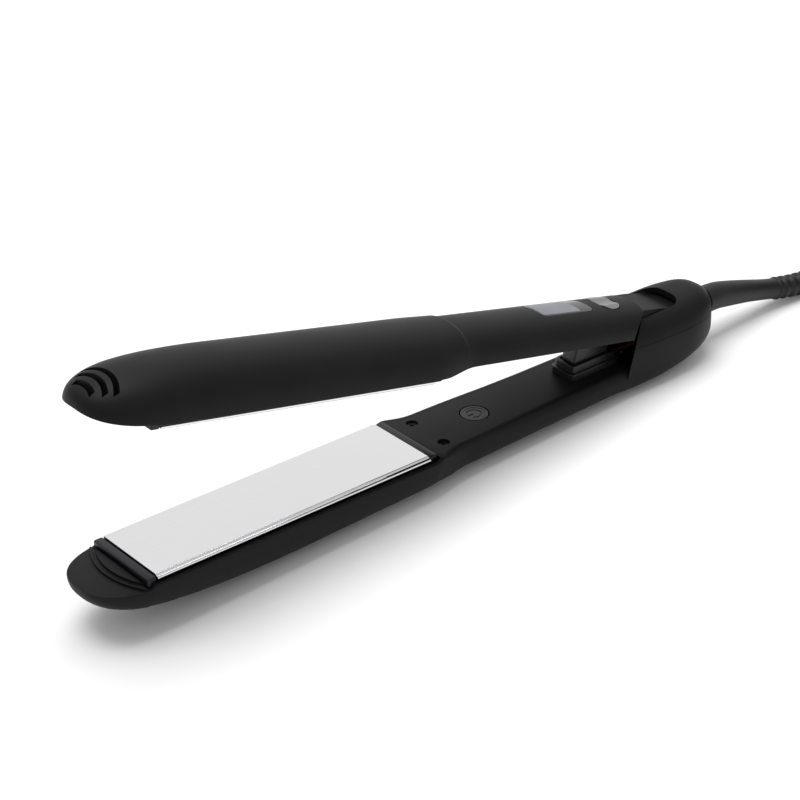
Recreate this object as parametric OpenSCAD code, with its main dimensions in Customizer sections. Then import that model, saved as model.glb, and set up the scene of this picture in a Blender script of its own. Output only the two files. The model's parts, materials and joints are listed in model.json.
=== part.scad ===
// Hair straightener (flat iron): two hinged arms with floating heated plates.
// Each arm is drawn flat in its own frame: X runs from nose to rear, the plate
// face is z = 0 and the arm's body hangs below it. The upper arm is the same
// idea mirrored, opened about the hinge. The whole part then rests on its
// sloping underside, with the floor at z = 0.

/* [Plates] */
// Length of each heating plate
plate_len = 100; // [96:1:102]
// Width of the flat polished face
plate_face = 25.5; // [25:0.1:26]
// Width over the bevelled long edges
plate_w = 28; // [27.6:0.1:28.2]
// Gap left between the two faces when the arms are closed
closed_gap = 0.3; // [0.2:0.1:0.5]
// Travel of each floating plate
plate_travel = 0.6; // [0.3:0.1:0.6]

/* [Arms] */
// Opening angle at rest, in degrees
opening = 11.9; // [8:0.1:12]
// Distance from the plate's centre to the nose tip
nose_reach = 68; // [67:0.5:69]
// Distance from the plate's centre to the rear of the hinge housing
rear_reach = 181.5; // [181:0.5:183]
// Width of an arm at the plates
arm_w = 31; // [30.8:0.1:31.6]
// Width of the handles just behind the plates
waist_w = 26; // [25.6:0.1:26.4]
// Width of the handles where they meet the hinge housing
heel_w = 25; // [24.8:0.1:25.4]
// Depth of the lower arm under its plate face, at the plate's centre
lower_depth = 17.5; // [17.3:0.1:18]
// Slope of the underside that the part rests on, in degrees
seat_tilt = 2.6; // [2.4:0.1:2.7]
// Depth of the upper arm over its plate face, at the plate's centre
upper_depth = 15.7; // [15.5:0.1:16.2]
// Slope of the upper arm's back, in degrees
upper_taper = 1.1; // [1:0.05:1.2]
// Wall thickness of the mouldings
wall = 2; // [1.8:0.1:2.2]

/* [Hinge] */
// Distance from the plate's centre to the hinge pin
pivot_x = 164.7; // [164:0.1:165.5]
// Height of the hinge pin over the lower plate face
pivot_z = 4.9; // [4.6:0.1:5.2]
// Diameter of the hinge pin
pin_d = 3; // [2.5:0.1:3.2]
// Width of the hinge housing
housing_w = 27; // [26.8:0.1:27.4]
// Height of the hinge housing's top over the lower plate face
housing_top = 14; // [13.8:0.1:14.2]

/* [Controls] */
// Distance from the plate's centre to the power button
button_x = 79.8; // [78:0.1:81]
// Diameter of the power button
button_d = 8.8; // [8.4:0.1:9]
// Travel of the power button
button_travel = 0.6; // [0.4:0.1:0.7]
// Distance of the display and the temperature rocker from the centre line
controls_y = 0.8; // [0.6:0.1:1]

/* [Cord] */
// Diameter of the mains cord
cord_d = 6.4; // [6.2:0.1:6.6]
// Layers of cord in the stored hank, two turns wide
hank_layers = 4; // [4:1:4]

/* [Hidden] */
$fn = 48;
eps = 0.01;

// --- derived sizes ---
nose_x = -nose_reach;
plate_end = plate_len / 2;
carrier_front = -plate_end - 3.2;
carrier_rear = plate_end + 3.6;
carrier_step = -7.2;
front_bar_half = 13.6;
rear_bar_half = 13;
rim_z = -2.3;
panel_front = carrier_rear + 0.4;
panel_t = 1.6;
panel_z = -1.4;
upper_panel_z = -4.2;
upper_nose_z = -5;
housing_x = 135.8;
seam_z = 6.2;
nose_z = -3.9;
nose_root = -44;
lift_x = 8;
upper_pivot_z = closed_gap - pivot_z;
underside_slope = tan(seat_tilt);
back_slope = tan(upper_taper);
foot_flat = 0.15;
floor_h = lower_depth * cos(seat_tilt) - foot_flat;
frame_x = 56.5;
upper_nose_x = nose_x - 2;

// --- hinge and housing ---
housing_mid = 1.6;
shoulder_z = 12.4;
shoulder_lean = 15;
cheek_x = 139.3;
slot_half = 7.5;
slot_rear = 164;
tongue_half = 7.1;
hub_r = 6;
bush_d = 4.9;
bracket_z = -5;
bracket_x0 = 154.6;
bracket_x1 = 161.4;
ear_in = 8.2;
ear_t = 1.2;
ear_d = 8;
housing_screw_x = 150.5;
housing_screw_y = 9.2;
housing_post_d = 3.4;
housing_screw_z = -8;
bracket_screw_x = 157.6;
bracket_screw_y = 6;
cord_z = 5;
outlet_d = 9.2;

// --- inner parts ---
carrier_floor = -9;
carrier_screw_xs = [-40, 40];
fuse_y = 6.8;
board_z = -7.8;
board_t = 1.6;
spring_seat = -8.4;
panel_screw_x = 60.7;
panel_screw_y = 7.5;
panel_inset = 0.9;
sleeve_x0 = 118.2;
sleeve_x1 = 137.2;
sleeve_half = 4.5;
sleeve_wall = 1;
sleeve_z = panel_z;
sleeve_top = 3.2;
plunger_x0 = 121.2;
plunger_x1 = 135.4;
plunger_half = 3.2;
plunger_bottom = closed_gap + 7.5;
flange_z = upper_panel_z - panel_t;
spring_x = 129;
spring_r = 1.9;
rocker_x = 133.2;
rocker_axle_z = -11.5;

// --- cord, hank and plug ---
relief_root_d = 9.4;
relief_tip_d = 7.1;
relief_route = [
    [125.3, 0, 14], [131, 0, 13.6], [137, 0, 12.2], [146, -0.1, 9.8], [154, -0.4, 7.5],
    [162, -1, 5.5], [170, -2, 4.3], [178, -3, 4.1], [185, -3.4, 4.1]
];
lead_route = [
    [184, -3.4, 4], [192, -3.6, 3.4], [200, -2.7, 3.2], [210, 0.6, 3.2], [219, 4.3, 3.2],
    [228, 5.6, 3.2]
];
hank_x = 268;
hank_y = -20;
hank_run = 80;
hank_r = 3.5 * cord_d;
hank_in = hank_r - 5;
hank_out = hank_r + cord_d + 0.2;
hank_h = hank_layers * cord_d;
tail_route = [
    [228, 5.6, 28.8], [237.2, 4, 29.3], [245.4, -0.7, 29.9], [251, -7.2, 30.1],
    [256.6, -13.7, 30], [264.7, -18.4, 29.2], [273.9, -20, 28.2], [281, -20, 27.7]
];
tie_x = 254;
tie_w = 14;
tie_t = 1.2;
plug_x = 287;
plug_z = 27.7;
plug_l = 28;
plug_w = 35;
plug_t = 13.6;
plug_sleeve = 8;
pin_socket = 6;
pin_l = 24;
pin_pitch = 19;
pin_dia = 4;

// --- small helpers ---
function clamp01(t) = min(max(t, 0), 1);
function mix(a, b, t) = a + (b - a) * t;
function ease(x, from, to) =
    let (t = clamp01((x - from) / (to - from))) t * t * (3 - 2 * t);
// Height of a rounded end: 1 at s = 0, falling to 0 at s = 1
function cap(s, n) = pow(1 - pow(clamp01(s), n), 1 / n);
function power(v, n) = sign(v) * pow(abs(v), 2 / n);

// --- outline of the arms, seen from above ---
function nose_cap(x, tip) = cap((nose_root - x) / (nose_root - tip), 2.5);
function arm_half(x, tip = nose_x) =
    let (
        waist = mix(arm_w, waist_w, ease(x, 50, 68)),
        taper = clamp01((x - 68) / (housing_x - 68))
    ) mix(waist, heel_w, taper) / 2 * nose_cap(x, tip);
// Half the flat inner face, which is narrower than the handle's round sides
function face_half(x) =
    mix(arm_half(x), mix(11.8, 9.9, ease(x, 66, 112)), ease(x, 52, 64));
function housing_half(x) =
    mix(heel_w + 0.6, housing_w, ease(x, 132, 148)) / 2
        * cap((x - 161) / (rear_reach - 161), 2.1);

// --- side profiles ---
function under_line(x) = -lower_depth + underside_slope * x;
function lower_under(x) =
    mix(nose_z - 0.6, under_line(x), cap((lift_x - x) / (lift_x - nose_x), 1.95))
        + 0.9 * ease(x, 60, 66) * (1 - ease(x, 128, 138));
function back_line(x) = -upper_depth + back_slope * x + 0.5 * ease(x, 63, 64.2);
function upper_back(x) =
    mix(upper_nose_z - 0.6, back_line(x), cap((-22 - x) / (-22 - upper_nose_x), 2.2));
function lower_top(x) =
    x < -plate_end - 2 ? mix(nose_z + 0.6, -3.4, cap((-52 - x) / (-52 - nose_x), 2))
    : mix(rim_z, panel_z, ease(x, 52, 55));
function upper_top(x) =
    x < -plate_end - 2 ? mix(upper_nose_z + 0.6, -2.6, cap((-52 - x) / (-52 - upper_nose_x), 2))
    : mix(rim_z, -3.6, ease(x, 53, 66));
// Depth below the rim at which the sides are widest
function bulge(x) = 0.2 + 3.4 * ease(x, 52, 66);
function housing_up(x) =
    mix(housing_mid, housing_top, cap((x - 171) / (rear_reach - 171), 3));
function housing_down(x) =
    mix(housing_mid, under_line(x), cap((x - 147) / (rear_reach - 147), 2.2));

// --- cross-sections: lists of [y, z] ---
// A channel: flat inner face, round shoulders, then a belly of power n
function belly(half, face, top, drop, low, n, steps = 20) =
    let (
        side = [[0, 0], [0.5, 0.22], [0.85, 0.6]],
        mid = top - drop
    ) concat(
        [for (s = side) [mix(face, half, s[0]), top - drop * s[1]]],
        [for (i = [0 : steps]) let (t = 180 * i / steps)
            [half * power(cos(t), n), mid + (low - mid) * power(sin(t), n)]],
        [for (i = [2, 1, 0]) [-mix(face, half, side[i][0]), top - drop * side[i][1]]]
    );
// An open channel for hollowing out an arm, with straight sides above mid
function trough(half, mid, low, n, steps) = concat(
    [[half, 20]],
    [for (i = [0 : steps]) let (t = 180 * i / steps)
        [half * power(cos(t), n), mid + (low - mid) * power(sin(t), n)]],
    [[-half, 20]]
);
// A closed ring with its widest point at mid
function ring(half, top, mid, low, n, steps = 28) = [
    for (i = [0 : steps - 1]) let (t = -360 * i / steps, s = sin(t))
        [half * power(cos(t), n), mid + (s < 0 ? mid - low : top - mid) * power(s, n)]
];

// Skins a list of stations [x, section] into one closed solid
module loft(stations) {
    count = len(stations[0][1]);
    last = len(stations) - 1;
    points = [for (s = stations) for (p = s[1]) [s[0], p[0], p[1]]];
    sides = [
        for (j = [0 : last - 1]) for (i = [0 : count - 1])
            let (k = (i + 1) % count, a = j * count, b = a + count)
            each [[a + i, a + k, b + k], [a + i, b + k, b + i]]
    ];
    front = [[for (i = [count - 1 : -1 : 0]) i]];
    back = [[for (i = [0 : count - 1]) last * count + i]];
    polyhedron(points, concat(sides, front, back), convexity = 8);
}

// --- station lists ---
function nose_stations(tip) = [for (i = [0 : 8]) mix(nose_root, tip + 0.06, cos(11.25 * i))];
body_xs = [-36, -28, -20, 0, 30, 50, 54, 58, 62, 63.2, 64.2, 68, 80, 100, 120];
housing_xs = [
    for (x = [133, 140, 148, 156]) x,
    for (i = [1 : 8]) 156 + (rear_reach - 0.08 - 156) * sin(90 * i / 8)
];

// --- tubes along a list of points; size is one diameter or a list ---
function unit(v) = v / norm(v);
function ring_at(p, dir, d, sides) =
    let (u = unit(cross([0, 0, 1], dir)), v = cross(dir, u))
    [for (i = [0 : sides - 1]) p + d / 2 * (u * cos(360 * i / sides) + v * sin(360 * i / sides))];
module tube(path, size, sides) {
    last = len(path) - 1;
    points = [
        for (j = [0 : last])
            let (dir = unit(path[min(j + 1, last)] - path[max(j - 1, 0)]))
            each ring_at(path[j], dir, is_list(size) ? size[j] : size, sides)
    ];
    sides_faces = [
        for (j = [0 : last - 1]) for (i = [0 : sides - 1])
            let (k = (i + 1) % sides, a = j * sides, b = a + sides)
            each [[a + i, b + k, a + k], [a + i, b + i, b + k]]
    ];
    polyhedron(points, concat(
        sides_faces,
        [[for (i = [0 : sides - 1]) i]],
        [[for (i = [sides - 1 : -1 : 0]) last * sides + i]]
    ), convexity = 10);
}
// Catmull-Rom curve through hand-placed points
function curve_point(p, i, t) =
    let (
        a = p[max(i - 1, 0)], b = p[i], c = p[i + 1], d = p[min(i + 2, len(p) - 1)]
    ) 0.5 * (2 * b + (c - a) * t + (2 * a - 5 * b + 4 * c - d) * t * t
        + (3 * b - a - 3 * c + d) * t * t * t);
function curve(p, per) = [
    for (i = [0 : len(p) - 2]) for (k = [0 : per - 1]) curve_point(p, i, k / per),
    p[len(p) - 1]
];

// --- placing ---
module on_floor() {
    translate([-frame_x, 0, floor_h]) rotate([0, seat_tilt, 0]) children();
}
module opened() {
    translate([pivot_x, 0, pivot_z]) rotate([0, opening, 0])
        translate([-pivot_x, 0, -pivot_z]) children();
}
module in_upper() {
    on_floor() opened() translate([0, 0, closed_gap]) mirror([0, 0, 1]) children();
}

// --- whole outer forms, in the arm frame ---
module lower_form() {
    loft([
        for (x = concat(nose_stations(nose_x), body_xs, [138.4]))
            [x, belly(arm_half(x), face_half(x), lower_top(x), bulge(x), lower_under(x), 2.4)]
    ]);
}
module upper_form() {
    loft([
        for (x = concat(nose_stations(upper_nose_x), body_xs, [136, 146]))
            let (half = arm_half(x, upper_nose_x))
            [x, belly(half, half - 0.3, upper_top(x), 0.4, upper_back(x), 2.2)]
    ]);
}
module housing_form() {
    loft([
        for (x = housing_xs)
            [x, ring(housing_half(x), housing_up(x), housing_mid, housing_down(x), 2.8)]
    ]);
}
module lower_cavity() {
    loft([
        for (x = [-51.6, -42, -20, 0, 49, 54, 58, 64, 70, 90, 120, 140])
            let (half = arm_half(max(x, -30)) - wall + 0.2, face = face_half(max(x, -30)) - wall)
            [x, concat(
                [[face, 20]],
                belly(
                    half, face, lower_top(x) - 0.2, bulge(x) + 0.8,
                    lower_under(max(x, -40)) + wall, 2.4, 16),
                [[-face, 20]]
            )]
    ]);
}
module upper_cavity() {
    loft([
        for (x = [-51.6, -42, -20, 0, 49, 54, 58, 64, 70, 90, 120, 137.4])
            [x, trough(
                arm_half(max(x, -30)) - wall + 0.2, -4,
                upper_back(max(x, -40)) + wall, 2.2, 16)]
    ]);
}
module housing_cavity() {
    loft([
        for (x = [137, 150, 160, 168, 174, 177])
            [x, ring(
                housing_half(x) - wall, housing_up(x) - wall, housing_mid,
                housing_down(x) + wall, 3.4, 28)]
    ]);
}

// --- shared construction pieces ---
module box(low, high) {
    translate(low) cube(high - low);
}
module across(x, z, d, w) {
    translate([x, 0, z]) rotate([90, 0, 0]) cylinder(d = d, h = w, center = true);
}
// Plate with rounded corners, standing from z0 to z1
module rounded_block(x0, x1, half, r, z0, z1, y = 0) {
    translate([0, y, z0]) linear_extrude(z1 - z0) union() {
        translate([x0 + r, -half]) square([x1 - x0 - 2 * r, 2 * half]);
        translate([x0, -half + r]) square([x1 - x0, 2 * half - 2 * r]);
        for (cx = [x0 + r, x1 - r], cy = [-half + r, half - r])
            translate([cx, cy]) circle(r);
    }
}
// Everything ahead of the slanted shoulder; side is 1 on the lower arm's frame, -1 on the upper's
module ahead_of_shoulder(x, side) {
    translate([x, 0, side * shoulder_z]) rotate([0, side * shoulder_lean, 0])
        translate([0, 0, -120]) linear_extrude(240)
            polygon([
                [-250, -30], [0, -30], [0, -heel_w / 2], [5.4, -slot_half],
                [5.4, slot_half], [0, heel_w / 2], [0, 30], [-250, 30]
            ]);
}
module behind_cheeks() {
    difference() {
        box([120, -30, -40], [220, 30, 40]);
        ahead_of_shoulder(cheek_x, 1);
    }
}
// Screw with its head's top at z, pointing down
module screw(x, y, z, head_d, shank_d, length) {
    translate([x, y, z]) difference() {
        union() {
            translate([0, 0, -1.4]) cylinder(d = head_d, h = 1.4);
            translate([0, 0, -length]) cylinder(d = shank_d, h = length - 1.4 + eps);
        }
        for (a = [0, 90]) rotate([0, 0, a])
            translate([-head_d * 0.3, -0.25, -0.7]) cube([head_d * 0.6, 0.5, 1]);
    }
}
module post(x, y, d, z0, z1, bore = 0) {
    translate([x, y, z0]) difference() {
        cylinder(d = d, h = z1 - z0);
        if (bore > 0) translate([0, 0, 1.2]) cylinder(d = bore, h = z1 - z0);
    }
}

// Room for the ends of a plate carrier, with clearance all round
module carrier_room() {
    gap = 0.15;
    box([carrier_front - gap, -front_bar_half - gap, carrier_step - gap], [-37, front_bar_half + gap, 10]);
    box([carrier_front - gap, -9.8, carrier_floor - 1.7], [-37, 9.8, 0]);
    box([plate_end - 0.5, -rear_bar_half - gap, -4.6], [carrier_rear + gap, rear_bar_half + gap, 10]);
}

// --- casings ---
// The raised step that carries the plate's front end
module nose_platform() {
    intersection() {
        translate([-33, 0, -9]) cylinder(r = 24, h = 9 + rim_z + 0.3, $fn = 96);
        box([-60, -14.3, -10], [-plate_end - 3.6, 14.3, 0]);
    }
}
module lower_shell() {
    color("#1b1b1d") on_floor() {
        difference() {
            union() {
                lower_form();
                intersection() {
                    housing_form();
                    behind_cheeks();
                    box([100, -30, -40], [220, 30, seam_z]);
                }
                nose_platform();
            }
            lower_cavity();
            difference() {
                housing_cavity();
                for (y = [-1, 1]) translate([housing_screw_x, y * housing_screw_y, -20])
                    cylinder(d = 5.4, h = 16);
            }
            carrier_room();
            translate([0, 0, panel_z - panel_t]) linear_extrude(10)
                face_outline(panel_front - 0.4, 138.2, panel_inset - 0.05);
            cord_outlet();
            for (y = [-1, 1]) {
                translate([housing_screw_x, y * housing_screw_y, -20]) cylinder(d = 2.4, h = 30);
                translate([housing_screw_x, y * housing_screw_y, -30])
                    cylinder(d = 4.8, h = 30 + housing_screw_z + 1.4);
            }
            floor_cut();
        }
        for (x = carrier_screw_xs) post(x, 0, 5, lower_under(x) + 1.2, carrier_floor - 1.5, 2);
        for (x = [73, 109], y = [-6, 6]) post(x, y, 3.6, lower_under(x) + 2.2, board_z);
        box([123, -3.4, -9.6], [134, 3.4, spring_seat]);
        for (y = [-1, 1]) {
            post(bracket_screw_x, y * bracket_screw_y, 4.4, -8.8, bracket_z, 2);
            post(panel_screw_x, y * panel_screw_y, 4.6, lower_under(panel_screw_x) + 2.8, panel_z - 3.4, 2);
        }
    }
}
module floor_cut() {
    rotate([0, -seat_tilt, 0]) translate([-120, -40, -60 - floor_h]) cube([400, 80, 60]);
}
module cord_outlet() {
    translate([170, 0, cord_z]) rotate([0, 90, 0]) cylinder(d = outlet_d, h = 30);
}
module housing_cover() {
    color("#1b1b1d") on_floor() difference() {
        intersection() {
            housing_form();
            behind_cheeks();
            box([100, -30, seam_z + 0.05], [220, 30, 40]);
        }
        housing_cavity();
        cord_outlet();
        rounded_block(130, slot_rear, slot_half, 5, 0, 30);
    }
    color("#1b1b1d") on_floor() for (y = [-1, 1])
        translate([housing_screw_x, y * housing_screw_y, seam_z - 8]) difference() {
            cylinder(d = housing_post_d, h = 11);
            translate([0, 0, -1]) cylinder(d = 2, h = 9.2);
        }
}
// Outline of a cover inset in the handle's inner face
module face_outline(from, to, inset) {
    xs = [from, 58, 62, 66, 80, 96, 112, to];
    polygon(concat(
        [for (x = xs) [x, face_half(x) - inset]],
        [for (i = [len(xs) - 1 : -1 : 0]) [xs[i], inset - face_half(xs[i])]]
    ));
}
module lower_panel() {
    color("#1f1f21") on_floor() translate([0, 0, panel_z]) difference() {
        union() {
            translate([0, 0, -panel_t]) linear_extrude(panel_t)
                face_outline(panel_front, 138.2, panel_inset);
            for (y = [-1, 1]) translate([panel_screw_x, y * panel_screw_y, -3.4])
                cylinder(d = 6, h = 3.4);
        }
        translate([button_x, 0, -10]) cylinder(d = button_d + 0.9, h = 20);
        for (y = [-1, 1]) translate([panel_screw_x, y * panel_screw_y, 0]) {
            translate([0, 0, -10]) cylinder(d = 2.2, h = 20);
            translate([0, 0, -2.2]) cylinder(d = 3.9, h = 5);
        }
        translate([0, 0, -panel_z]) {
            box([sleeve_x0, -sleeve_half, -10], [150, sleeve_half, 10]);
        }
    }
}

// --- heating group, the same in both arms ---
module carrier() {
    difference() {
        union() {
            box([carrier_front + 0.3, -12.8, carrier_step], [carrier_rear - 0.3, 12.8, -2.4]);
            box([carrier_front + 0.3, -9.6, carrier_floor - 1.5], [carrier_rear - 0.3, 9.6, -2.4]);
            box([carrier_front, -front_bar_half, -4.4], [-plate_end - 0.2, front_bar_half, -0.5]);
            box([plate_end + 0.2, -rear_bar_half, -4.4], [carrier_rear, rear_bar_half, -0.6]);
        }
        box([-plate_end - 0.2, -12.1, carrier_step + 0.5], [plate_end + 0.2, 12.1, 5]);
        box([-plate_end - 0.2, -8.4, carrier_floor], [plate_end + 0.2, 8.4, 5]);
        for (x = carrier_screw_xs) translate([x, 0, -20]) cylinder(d = 2.4, h = 30);
        // chamfer along the front bar's leading edge
        translate([carrier_front, 0, -0.5]) rotate([0, 45, 0]) cube([1.2, 60, 1.2], center = true);
    }
}
// Floating plate: a channel with bevelled wings that overhang the rim
module plate() {
    face = plate_face / 2;
    wing = plate_w / 2;
    flange = 12;
    translate([-plate_end, 0, 0]) rotate([90, 0, 90]) linear_extrude(plate_len) polygon([
        [-face, 0], [face, 0], [wing, -1.3], [wing - 0.2, -1.6], [flange, -1.6],
        [flange, -6], [flange - 1.2, -6], [flange - 1.2, -2], [-flange + 1.2, -2],
        [-flange + 1.2, -6], [-flange, -6], [-flange, -1.6], [-wing + 0.2, -1.6],
        [-wing, -1.3]
    ]);
}
module heater() {
    box([-35, -7.5, -3.2], [35, 7.5, -2]);
}
// Spring-steel channel that clips the heater against the plate
module heater_clip() {
    difference() {
        box([-33, -10.8, -5], [33, 10.8, -2]);
        box([-34, -10.4, -4.6], [34, 10.4, -1]);
    }
    box([-33, -6, -4.6], [33, 6, -3.2]);
}
module cushions() {
    for (x = [-25, 25]) rounded_block(x - 5, x + 5, 5, 1.5, carrier_floor, -5 - plate_travel - 0.1);
}
module fuse() {
    translate([-10, fuse_y, -7.2]) rotate([0, 90, 0]) cylinder(d = 3, h = 10);
    translate([-18, fuse_y, -7.2]) rotate([0, 90, 0]) cylinder(d = 0.8, h = 26);
}

module lower_carrier() { color("#15161c") on_floor() carrier(); }
module lower_plate() { color("#d9dadc") on_floor() plate(); }
module lower_heater() { color("#e8e4da") on_floor() heater(); }
module lower_heater_clip() { color("#8d9094") on_floor() heater_clip(); }
module lower_cushions() { color("#a33a2a") on_floor() cushions(); }
module lower_fuse() { color("#c9c9c9") on_floor() fuse(); }
module upper_carrier() { color("#15161c") in_upper() carrier(); }
module upper_plate() { color("#d9dadc") in_upper() plate(); }
module upper_heater() { color("#e8e4da") in_upper() heater(); }
module upper_heater_clip() { color("#8d9094") in_upper() heater_clip(); }
module upper_cushions() { color("#a33a2a") in_upper() cushions(); }
module upper_fuse() { color("#c9c9c9") in_upper() fuse(); }
module carrier_screws() {
    color("#6f7276") on_floor()
        for (x = carrier_screw_xs) screw(x, 0, carrier_floor + 1.4, 4, 2, 6);
}
module upper_carrier_screws() {
    color("#6f7276") in_upper()
        for (x = carrier_screw_xs) screw(x, 0, carrier_floor + 1.4, 4, 2, 5);
}

// --- upper arm ---
// Narrow rear end of the upper casing that swings inside the housing's slot
module tongue() {
    difference() {
        translate([0, 0, closed_gap]) mirror([0, 0, 1]) rotate([90, 0, 0])
            linear_extrude(2 * tongue_half, center = true) union() {
                polygon([
                    [137.8, 7.2], [137.8, 11.3], [140, 11.4], [150, 11.4], [155, 11.1],
                    [159, 10.5], [pivot_x, pivot_z + hub_r - 0.1], [pivot_x, pivot_z - hub_r + 0.1],
                    [160.6, 0.4], [152, 3.8], [142, 6]
                ]);
                translate([pivot_x, pivot_z]) circle(hub_r);
            }
        across(pivot_x, upper_pivot_z, 5, 30);
    }
}
module vents() {
    for (i = [0 : 2]) let (x = -60.6 - 3.4 * i, half = [8.6, 7, 4.4][i])
        intersection() {
            translate([x - 15.4, 0, -30]) difference() {
                cylinder(r = 17.6, h = 30, $fn = 96);
                translate([0, 0, -1]) cylinder(r = 15.4, h = 32, $fn = 96);
            }
            box([x - 10, -half, -30], [x + 12, half, -5.4]);
        }
}
module upper_shell() {
    color("#1b1b1d") in_upper() {
        difference() {
            intersection() {
                upper_form();
                ahead_of_shoulder(cheek_x - 0.6, -1);
            }
            upper_cavity();
            carrier_room();
            vent_hollow();
            vents();
            lens_outline(0.1, -20);
            rocker_well();
        }
        tongue();
        for (x = carrier_screw_xs) post(x, 0, 5, upper_back(x) + 1.2, carrier_floor - 1.5, 2);
        for (y = [-1, 1])
            post(panel_screw_x, y * panel_screw_y, 4.6, upper_back(panel_screw_x) + 3.2,
                upper_panel_z - panel_t, 2);
    }
}
module vent_hollow() {
    box([-58, -8, -9.6], [-52, 8, -5.2]);
}
module lens_outline(gap, depth) {
    rounded_block(101.2 - gap, 124.2 + gap, 5.2 + gap, 2.4, depth, -10.4, controls_y);
}
module display_lens() {
    color("#55565c") in_upper() intersection() {
        upper_form();
        lens_outline(0, -20);
    }
}
module rocker_well() {
    rounded_block(rocker_x - 4.1, rocker_x + 4.1, 6.1, 4, -20, -9, controls_y);
}
module rocker_key() {
    color("#9a9ba0") in_upper() intersection() {
        upper_form();
        rounded_block(rocker_x - 3.8, rocker_x + 3.8, 5.8, 3.7, -20, -9.6, controls_y);
    }
    // stub axles that the key rocks on
    color("#9a9ba0") in_upper() translate([rocker_x - 4.05, controls_y, rocker_axle_z])
        rotate([0, 90, 0]) cylinder(d = 1.2, h = 8.1);
}
module rocker_switches() {
    color("#303236") in_upper() for (y = [-3.4, 3.4])
        box([rocker_x - 1.5, controls_y + y - 1.5, -9.1], [rocker_x + 1.5, controls_y + y + 1.5, -8]);
}
module display_module() {
    color("#7d8278") in_upper() box([102.4, controls_y - 4.6, -10.1], [121, controls_y + 4.6, -8]);
}
module display_board() {
    color("#1d5a34") in_upper() box([98, -7, -8], [136, 7.6, -7]);
}
module upper_panel() {
    color("#1f1f21") in_upper() difference() {
        translate([0, 0, upper_panel_z - panel_t]) linear_extrude(panel_t) polygon(concat(
            [for (x = [panel_front, 60, 68, 90, 136]) [x, arm_half(x) - wall]],
            [for (x = [136, 90, 68, 60, panel_front]) [x, wall - arm_half(x)]]
        ));
        for (y = [-1, 1]) translate([panel_screw_x, y * panel_screw_y, upper_panel_z]) {
            translate([0, 0, -10]) cylinder(d = 2.2, h = 20);
            translate([0, 0, -0.9]) cylinder(d = 3.9, h = 5);
        }
        rounded_block(plunger_x0 - 0.05, plunger_x1 + 0.05, plunger_half + 0.05, 0.8, -10, 10);
    }
}

// --- controls and electronics of the lower arm ---
module power_button() {
    z = panel_z;
    color("#232325") on_floor() difference() {
        union() {
            translate([button_x, 0, z - 2.6]) cylinder(d = button_d, h = 2.5);
            translate([button_x, 0, z - 2.6]) cylinder(d = button_d + 2.4, h = 0.8);
            translate([button_x, 0, z - 3.6]) cylinder(d = 3, h = 1.2);
        }
        // engraved ring and bar of the power symbol
        translate([button_x, 0, z - 0.35]) difference() {
            cylinder(d = 4.6, h = 1);
            translate([0, 0, -1]) cylinder(d = 3.6, h = 3);
            translate([-3, -0.9, -1]) cube([3, 1.8, 3]);
        }
        translate([button_x - 2.6, -0.25, z - 0.35]) cube([2.4, 0.5, 1]);
    }
}
module power_switch() {
    color("#303236") on_floor() translate([button_x, 0, board_z + board_t]) difference() {
        translate([-3, -3, 0]) cube([6, 6, 1.5]);
        translate([0, 0, 0.4]) cylinder(d = 3.8, h = 3);
    }
}
module control_board() {
    color("#1d5a34") on_floor() box([70, -8.6, board_z], [112, 8.6, board_z + board_t]);
}

// --- spring guard between the arms ---
module guard_sleeve() {
    color("#141415") on_floor() difference() {
        union() {
            rounded_block(sleeve_x0 - 1.1, sleeve_x1 + 0.8, sleeve_half + 0.8, 1.8, sleeve_z, 0.8);
            rounded_block(sleeve_x0, sleeve_x1, sleeve_half, 1.3, sleeve_z, sleeve_top);
            box([sleeve_x0 + 0.1, -sleeve_half + 0.1, -7.6], [sleeve_x1 - 0.1, sleeve_half - 0.1, sleeve_z + eps]);
        }
        box([sleeve_x0 + sleeve_wall, -sleeve_half + sleeve_wall, -10],
            [sleeve_x1 - sleeve_wall, sleeve_half - sleeve_wall, 10]);
    }
}
module guard_plunger() {
    color("#101012") in_upper() difference() {
        union() {
            rounded_block(plunger_x0, plunger_x1, plunger_half, 0.8, flange_z - 1, plunger_bottom);
            box([116, -8, flange_z - 1.2], [135.6, 8, flange_z]);
        }
        box([plunger_x0 + 0.9, -plunger_half + 0.9, flange_z],
            [plunger_x1 - 0.9, plunger_half - 0.9, 20]);
    }
}
// Compression spring that opens the arms
module opening_spring() {
    turns = 8;
    wire = 0.7;
    z0 = spring_seat + wire / 2;
    z1 = 11.6;
    color("#9da0a4") on_floor() tube([
        for (i = [0 : 12 * turns]) let (t = i / 12)
            [spring_x + spring_r * cos(360 * t), spring_r * sin(360 * t), mix(z0, z1, t / turns)]
    ], wire, 6);
}

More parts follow.
